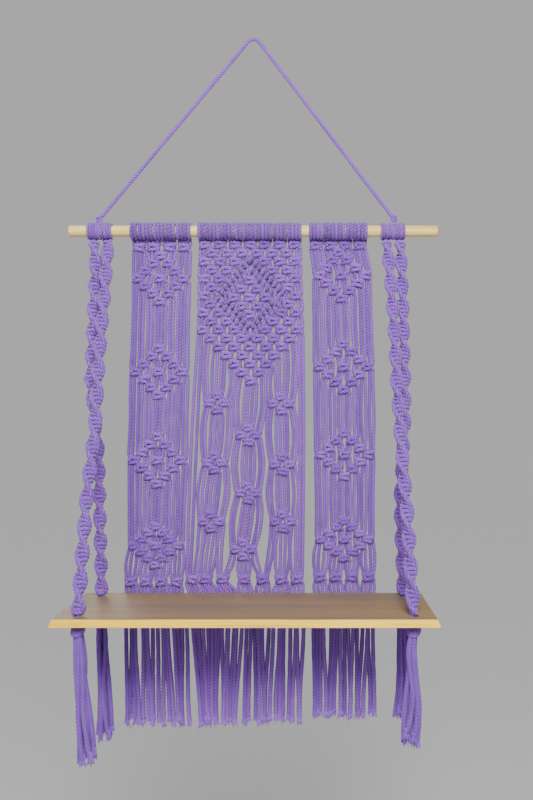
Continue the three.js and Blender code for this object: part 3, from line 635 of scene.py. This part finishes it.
def hang_fringe(mesh, strands, side, random):
    """Takes each strand of a panel down past the board, and puts the finished strand into the mesh."""
    outline = OUTLINES[side]
    for cluster in FRINGE[side]:
        left, width = cluster["left"], cluster["right"] - cluster["left"]
        for k in range(cluster["count"]):
            index = cluster["first"] + k
            strand = strands[index]
            top_x = across(outline, len(strands), index + 0.5, FRINGE_TOP_Z)
            strand.hang(top_x, FRINGE_TOP_Z)
            group = math.sin(2 * math.pi * (index + 0.5) / 4)
            end_x = left + width * (k + 0.5) / cluster["count"] + random.uniform(-2.2, 2.2)
            bottom = cluster["bottom"] + random.uniform(3, 12)
            strand.rows += fringe_rows(top_x, end_x, bottom, group, random)
            # The last argument paints shade on the sides where the strands lie against each other
            mesh.add(strand.rows, strand.tone, phase=strand.phase, crowded=0.9)
            fringe_end(mesh, strand.rows, strand, random)


def wrap_rod(strands, left, right, random):
    """A lark's head on the rod for each pair of strands."""
    rib = (right - left) / len(strands)
    for pair in range(len(strands) // 2):
        shift = random.uniform(-WRAP["shift"], WRAP["shift"])
        middle = left + (2 * pair + 1) * rib + shift
        strands[2 * pair].wrap(middle - rib * WRAP["from_middle"], middle)
        strands[2 * pair + 1].wrap(middle + rib * WRAP["from_middle"], middle)


def bow_out(strands, first):
    """From here down, the strands of a hem knot bow apart above it and below it."""
    for strand, bow in zip(strands[first:first + 4], HEM["bow"]):
        strand.spread = bow


def hem(strands, plan):
    """The last row of knots, with four strands to each. An event is a height, a function and its values."""
    z = plan["hem_z"]
    events = []
    for k, x in enumerate(plan["hem_knots"]):
        events.append((z, square_knot, (strands, 4 * k, x, z, KNOT["half_height"], HEM["spacing"])))
        events.append((z + HEM["bow_above"], bow_out, (strands, 4 * k)))
    return events


def tie_all(events):
    """Runs the events from the top down."""
    for _, action, arguments in sorted(events, key=lambda event: -event[0]):
        action(*arguments)


def side_panel(side, seed):
    """A row of square knots, four diamonds of them with one in the middle, and a hem row."""
    random = np.random.default_rng(seed)
    plan, outline = SIDE_PANELS[side], OUTLINES[side]
    strands = [Strand(random) for _ in range(SIDE_STRANDS)]
    wrap_rod(strands, outline[0]["left"], outline[0]["right"], random)
    events = []
    for s in range(2, SIDE_STRANDS, 4):
        z = plan["top_row_z"]
        events.append((z, square_knot, (strands, s - 2, across(outline, SIDE_STRANDS, s, z), z)))
    for middle_z, pitch in plan["diamonds"]:
        half_height = min(KNOT["half_height"], pitch / 2)
        for row in range(-DIAMOND_REACH, DIAMOND_REACH + 1):
            z = middle_z - row * pitch
            for s in range(2, SIDE_STRANDS, 2):
                ring = abs(s - SIDE_STRANDS / 2) / 2 + abs(row)
                if ring in (0, DIAMOND_REACH):
                    x = across(outline, SIDE_STRANDS, s, z)
                    events.append((z, square_knot, (strands, s - 2, x, z, half_height)))
    tie_all(events + hem(strands, plan))
    mesh = CordMesh()
    hang_fringe(mesh, strands, side, random)
    return mesh.build(f"macrame_{side}", COTTON, f"panel_{side}", f"fringe_{side}")


def field(strands, outline):
    """Alternating square knots, tapering at the foot and left open where the diamonds of hitches lie."""
    full, rings = FIELD["full_rows"], FIELD_RINGS
    events = []
    for row in range(full + FIELD["foot_rows"]):
        z = FIELD["top_z"] - row * FIELD["row_pitch"]
        inset = 2 * (row - full) if row > full else 0
        first = inset + 2 if row > full else (4 if row % 2 else 2)
        for s in range(first, CENTRE_STRANDS - inset, 4):
            ring = abs(s - rings["middle"]) / 2 + abs(row - rings["row"])
            if rings["inner"] < ring < rings["outer"]:
                continue
            place = z - rings["drop"] if ring <= rings["inner"] else z
            x = across(outline, CENTRE_STRANDS, s, z)
            events.append((place, square_knot, (strands, s - 2, x, place)))
    return events


def crossing(corners, x, upper):
    """Height where a strand at x crosses a diamond's side, and whether that side rises to the right."""
    top, left, bottom, right = corners
    apex = top if upper else bottom
    corner = left if x < apex[0] else right
    dx, dz = corner[0] - apex[0], corner[1] - apex[1]
    return apex[1] + dz * (x - apex[0]) / dx, dx * dz > 0


def hitch_diamonds(strands, outline, mesh):
    """Two diamonds, one in the other. A cord runs round each, and the strands that meet it wind over it."""
    events = []
    for diamond in HITCH_DIAMONDS:
        corners = diamond["corners"]
        for i in range(diamond["first"], diamond["last"] + 1):
            x = across(outline, CENTRE_STRANDS, i + 0.5, HITCH["middle_z"])
            for upper in (True, False):
                z, rising = crossing(corners, x, upper)
                events.append((z, hitch, (strands[i], x, z, rising)))
        y, radius = PANEL_Y + HITCH["core_y"], HITCH["core_radius"]
        loop = [*corners, corners[0]]
        for (x0, z0), (x1, z1) in zip(loop, loop[1:]):
            mesh.add([(x0, y, z0, radius), (x1, y, z1, radius)], 0.5)
    return events


def small_diamonds(strands):
    """Columns of four square knots each, on eight strands that bow apart between them."""
    pitch, unit, half_height = (SMALL_DIAMOND[key] for key in ("row_pitch", "unit", "half_height"))
    events = []
    for column in CENTRE_COLUMNS:
        first = column["first"]
        for strand, bow in zip(strands[first:], SMALL_DIAMOND_BOW):
            strand.spread = bow
        for x, z in column["diamonds"]:
            for s, row in ((4, -1), (2, 0), (6, 0), (4, 1)):
                place = z - row * pitch
                values = (strands, first + s - 2, x + (s - 4) * unit, place, half_height, unit)
                events.append((place, square_knot, values))
    return events


def centre_panel(seed):
    """A knotted field with two diamonds of hitches, three columns of small diamonds and a hem row."""
    random = np.random.default_rng(seed)
    outline = OUTLINES["centre"]
    strands = [Strand(random) for _ in range(CENTRE_STRANDS)]
    wrap_rod(strands, outline[0]["left"], outline[0]["right"], random)
    mesh = CordMesh()
    events = field(strands, outline) + hitch_diamonds(strands, outline, mesh)
    tie_all(events + small_diamonds(strands) + hem(strands, CENTRE_HEM))
    hang_fringe(mesh, strands, "centre", random)
    return mesh.build("macrame_centre", COTTON, "panel_centre", "fringe_centre")


def hole_y(front):
    """How far out the board's front or rear holes lie."""
    edge = BOARD["depth"] - HOLE["from_edge"] if front else HOLE["from_edge"]
    return BOARD["back_y"] - edge


def half_knots():
    """A working cord's turn as across, depth and fall: an arch in front, down an edge, the same behind."""
    long, thick, pitch = STRAP["long"], STRAP["thick"], STRAP["pitch"]
    arch = [(0.4 - long, 0.6, 0.12), (-3.4, 1.1, 0.02), (0, 1.25, -0.03), (3.4, 1.1, 0.0)]
    edge = [(long - 0.8, 0.7, 0.09), (long + 0.2, 0.25, 0.22), (long + 0.2, -0.2, 0.38)]
    half = [(sideways, -depth * thick, fall * pitch) for sideways, depth, fall in arch + edge]
    return half + [(-sideways, -depth, fall + pitch / 2) for sideways, depth, fall in half]


def turned(a, b, angle):
    """A point turned about the vertical."""
    return a * math.cos(angle) - b * math.sin(angle), a * math.sin(angle) + b * math.cos(angle)


def working_rows(shape, side, centre):
    """A working cord's half knots, narrower at both ends, and turning as they go down."""
    top, foot = STRAP["top_z"], STRAP["foot_z"]
    knot = half_knots()
    rows = []
    for turn in range(int((top - foot) / STRAP["pitch"])):
        for a, b, drop in knot:
            z = top - 6 - STRAP["pitch"] * turn - drop
            angle = (shape["bulge_z"] - z) / shape["half_turn"] * math.pi
            z = max(z, foot + 0.8)
            ends = min(1, 0.7 + (top - z) / 30, 0.6 + (z - foot) / 10)
            cx, cy = centre(z)
            dx, dy = turned(-side * a * ends, -side * b, angle)
            rows.append((cx + dx, cy + dy, z, STRAP_CORD["radius"]))
    return rows


def strap(name, shape, seed):
    """Half knots that spiral: two cords go round two others, and their ridge turns as it falls."""
    random = np.random.default_rng(seed)
    heights = [-z for z, _ in shape["drift"]]
    drift = [x for _, x in shape["drift"]]
    foot_y = hole_y(shape["front"])
    top, foot = STRAP["top_z"], STRAP["foot_z"]

    def centre(z):
        share = (top - z) / (top - foot)
        return float(np.interp(-z, heights, drift)), ROD["y"] + (foot_y - ROD["y"]) * share

    mesh = CordMesh()
    left, right = shape["wrap"]
    rib = (right - left) / STRAP_CORDS
    for k in range(STRAP_CORDS):
        strand = Strand(random)
        strand.wrap(left + (k + 0.5) * rib, left + (2 * (k // 2) + 1) * rib, 0.53 * rib)
        if k in (1, 2):
            for share in (0.02, 0.2, 0.4, 0.6, 0.8, 0.98):
                z = top + (foot - top) * share
                cx, cy = centre(z)
                x = cx + (k - 1.5) * STRAP_CORD["core_spacing"]
                strand.rows.append((x, cy, z, STRAP_CORD["core_radius"]))
        else:
            strand.rows += working_rows(shape, -1 if k == 0 else 1, centre)
        x = shape["side"] * HOLE["x"] + (k - 1.5) * STRAP_FOOT["spacing"]
        y = foot_y + (STRAP_FOOT["stagger"] if k % 2 else -STRAP_FOOT["stagger"])
        for z in (foot - 1, BOARD["top_z"] - 4, BOARD["top_z"] - 8.7):
            strand.rows.append((x, y, z, STRAP_FOOT["radius"]))
        mesh.add(strand.rows, strand.tone, phase=strand.phase)
    return mesh.build(f"strap_cords_{name}", COTTON, f"strap_{name}")


def stopper_knot(mesh, x, y, random):
    """Two cords wound round each other into a round knot under the board."""
    steps = STOPPER["turns"] * STOPPER["turn_steps"]
    for k in range(2):
        rows = []
        for step in range(steps + 1):
            phase = 2 * math.pi * step / STOPPER["turn_steps"] + math.pi * k
            share = step / steps
            radius = STOPPER["radius"] + STOPPER["belly"] * math.sin(math.pi * share)
            z = TASSEL_TOP_Z - 3.4 - STOPPER["drop"] * share + STOPPER["wave"] * math.sin(phase + 0.7)
            rows.append((x + radius * math.cos(phase), y + radius * math.sin(phase), z, STOPPER["cord"]))
        mesh.add(rows, random.uniform(0.3, 0.8), phase=random.uniform(0, 6))


def tassel(name, shape, seed):
    """A knot under the board, tied in the strap's own cords, and their loose ends."""
    random = np.random.default_rng(seed)
    mesh = CordMesh()
    x, y, top = shape["side"] * HOLE["x"], hole_y(shape["front"]), TASSEL_TOP_Z
    stopper_knot(mesh, x, y, random)
    outer_strands = TASSEL["strands"] - 1
    for k in range(TASSEL["strands"]):
        strand = Strand(random)
        angle = 2 * math.pi * k / outer_strands
        bottom = shape["tassel_bottom"] + random.uniform(7, 24)
        curl, lean = random.uniform(-4, 4), random.uniform(-2, 2)
        for share in (0, 0.08, 0.25, 0.45, 0.65, 0.85, 1):
            ring = TASSEL["ring"] + TASSEL["flare"] * share if k < outer_strands else 0
            bow = math.sin(2.1 * math.pi * share)
            strand.rows.append((
                x + ring * math.cos(angle) + shape["tassel_dx"] * share**1.3 + curl * bow,
                y + ring * math.sin(angle) + lean * bow,
                top - 3 + (bottom - top + 3) * share,
                loose_radius(share),
            ))
        # Painted shade: the tassel's cords are darkened towards the deep colour, and so are their sides that
        # face each other, as if in the shade under the board
        strand.tone *= 0.15
        mesh.add(strand.rows, strand.tone, phase=strand.phase, crowded=0.7)
        fringe_end(mesh, strand.rows, strand, random)
    return mesh.build(f"tassel_cords_{name}", COTTON, f"tassel_{name}")


def hanger():
    """A taut cord from one knot on the rod, over the nail, to the other."""
    rows = [(*point, HANGER_RADIUS) for point in HANGER_ROUTE]
    mesh = CordMesh()
    mesh.add(rows, 0.5, step=1.5)
    piece = mesh.build("hanger_rope", COTTON, "hanger_cord")
    line, at = smooth_curve(rows, 3)


def hanger_knot(name, shape):
    """One turn round the rod, and above it a knob: the cord's end doubled round itself."""
    mesh = CordMesh()
    x, side = shape["wrap_x"], shape["side"]
    ring = []
    for step in range(HANGER_TURN["steps"] + 1):
        share = step / HANGER_TURN["steps"]
        angle = math.radians(HANGER_TURN["from"] + HANGER_TURN["degrees"] * share)
        y = ROD["y"] + WRAP["radius"] * math.cos(angle)
        z = ROD["z"] + WRAP["radius"] * math.sin(angle)
        ring.append((x + HANGER_TURN["lean"] * (share - 0.5), y, z, HANGER_TURN["cord"]))
    mesh.add(ring, 0.5)
    ex, ey, ez = HANGER_ROUTE[shape["end"]]
    knob_x = ex + side * KNOB["aside"]
    coil = [(ex, ey, ez - 0.5, 2.3)]
    for step in range(KNOB["steps"] + 1):
        angle = 2 * math.pi * step / KNOB["turn_steps"]
        coil_x, coil_y = knob_x + KNOB["radius"] * math.cos(angle), ey + KNOB["radius"] * math.sin(angle)
        coil.append((coil_x, coil_y, ez + KNOB["foot"] + KNOB["rise"] * step, KNOB["cord"]))
    coil.append((knob_x, ey, ez + 2.6, 2.2))
    mesh.add(coil, 0.6)
    stem = [(ex, ey, ez, 2.4), (ex + side * 0.8, ey, ez - 5, 2.5), (x, ROD["y"], ROD["z"] + 9, 2.5)]
    mesh.add(stem, 0.4)
    return mesh.build(f"hanger_tie_{name}", COTTON, f"hanger_knot_{name}")


def finish_wood(name, mesh_builder, material, node, edge, smooth):
    """A wooden piece whose sharp edges are softened. smooth is for a round piece."""
    mesh = bpy.data.meshes.new(name)
    body = bmesh.new()
    mesh_builder(body)
    sharp = [e for e in body.edges if e.is_manifold and e.calc_face_angle() > SHARP_ANGLE]
    bmesh.ops.bevel(body, geom=sharp, offset=edge, segments=2, affect="EDGES", clamp_overlap=True)
    body.to_mesh(mesh)
    body.free()
    mesh.materials.append(material)
    if smooth:
        mesh.shade_smooth()
        mesh.set_sharp_from_angle(angle=SMOOTH_ANGLE)
    piece = new_object(name, mesh)
    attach(piece, "root")
    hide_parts(node)
    return piece


def rod_mesh(body):
    """A dowel whose ends are rounded over."""
    half, radius, arc = ROD["length"] * MM / 2, ROD["radius"] * MM, ROD["round"] * MM
    end = [(-half, radius - arc)]
    end += [(-half + arc * (1 - math.cos(a)), radius - arc * (1 - math.sin(a))) for a in (0.5, 1.0, 1.57)]
    middle = [(x, radius) for x in np.linspace(-half, half, ROD["rings"] + 1)[1:-1]]
    rings = []
    for x, r in [*end, *middle, *((-x, r) for x, r in reversed(end))]:
        angles = [2 * math.pi * k / ROD["sides"] for k in range(ROD["sides"])]
        round_x = [(ROD["y"] * MM + r * math.cos(a), ROD["z"] * MM + r * math.sin(a)) for a in angles]
        rings.append([body.verts.new((x, y, z)) for y, z in round_x])
    for one, other in zip(rings, rings[1:]):
        for k in range(ROD["sides"]):
            after = (k + 1) % ROD["sides"]
            body.faces.new((one[k], one[after], other[after], other[k]))
    body.faces.new(rings[0][::-1])
    body.faces.new(rings[-1])
    bmesh.ops.recalc_face_normals(body, faces=body.faces)


def board_mesh(body):
    """A plank with four sloping edges and four round holes, as in the solids."""
    body.from_mesh(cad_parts["board"].data)
    bmesh.ops.remove_doubles(body, verts=body.verts, dist=1e-6)
    bmesh.ops.dissolve_limit(body, angle_limit=0.02, verts=body.verts, edges=body.edges)


for index, side in enumerate(SIDE_PANELS):
    side_panel(side, SEEDS["side"] + index)
centre_panel(SEEDS["centre"])
for index, (name, shape) in enumerate(STRAPS.items()):
    strap(name, shape, SEEDS["strap"] + index)
    tassel(name, shape, SEEDS["tassel"] + index)
hanger()
for name, shape in HANGER_KNOTS.items():
    hanger_knot(name, shape)
finish_wood("dowel", rod_mesh, ROD_WOOD, "rod", 0.0002, True)
finish_wood("shelf_board", board_mesh, BOARD_WOOD, "board", 0.0006, False)


def add_light(name, kind, energy, direction, **settings):
    """A lamp that shines along a direction."""
    lamp = new_object(name, bpy.data.lights.new(name, kind))
    lamp.data.energy = energy
    for key, value in settings.items():
        setattr(lamp.data, key, value)
    lamp.rotation_euler = Vector(direction).to_track_quat("-Z", "Y").to_euler()
    return lamp


# Soft lights, a plain floor and a pale sky
add_light("sun", "SUN", 1.1, (-0.05, 1.0, -0.62), angle=math.radians(24))
add_light("fill", "SUN", 1.2, (0.6, -1.0, -0.4), angle=math.radians(40))
key_place, key_target = Vector((0.12, -1.3, 0.14)), Vector((0, 0, -0.45))
key = add_light("key", "AREA", 29, key_target - key_place, shape="DISK", size=0.45, color=(1, 0.985, 0.96))
key.location = key_place

floor_half = 400
floor_corners = [(x * floor_half, y * floor_half, 0) for x, y in ((-1, -1), (1, -1), (1, 1), (-1, 1))]
floor_mesh = bpy.data.meshes.new("floor")
floor_mesh.from_pydata(floor_corners, [], [(0, 1, 2, 3)])
floor = new_object("floor", floor_mesh)
floor.location.z = -1.7
floor_look = Nodes("pale_floor")
floor_look.surface(Base_Color=(0.82, 0.82, 0.83, 1), Roughness=1.0, Specular_IOR_Level=0.0)
floor_mesh.materials.append(floor_look.material)

world = bpy.data.worlds.new("studio")
bpy.context.scene.world = world
world.use_nodes = True
sky, links = world.node_tree.nodes, world.node_tree.links
place = sky.new("ShaderNodeTexCoord")
parts = sky.new("ShaderNodeSeparateXYZ")
ramp = sky.new("ShaderNodeValToRGB")
links.new(place.outputs["Generated"], parts.inputs[0])
links.new(parts.outputs["Z"], ramp.inputs[0])
links.new(ramp.outputs[0], sky["Background"].inputs["Color"])
for element, (height, shade) in zip(ramp.color_ramp.elements, [(0.5, 0.47), (0.8, 0.12)]):
    element.position = height
    element.color = (shade, shade, shade * 1.01, 1)
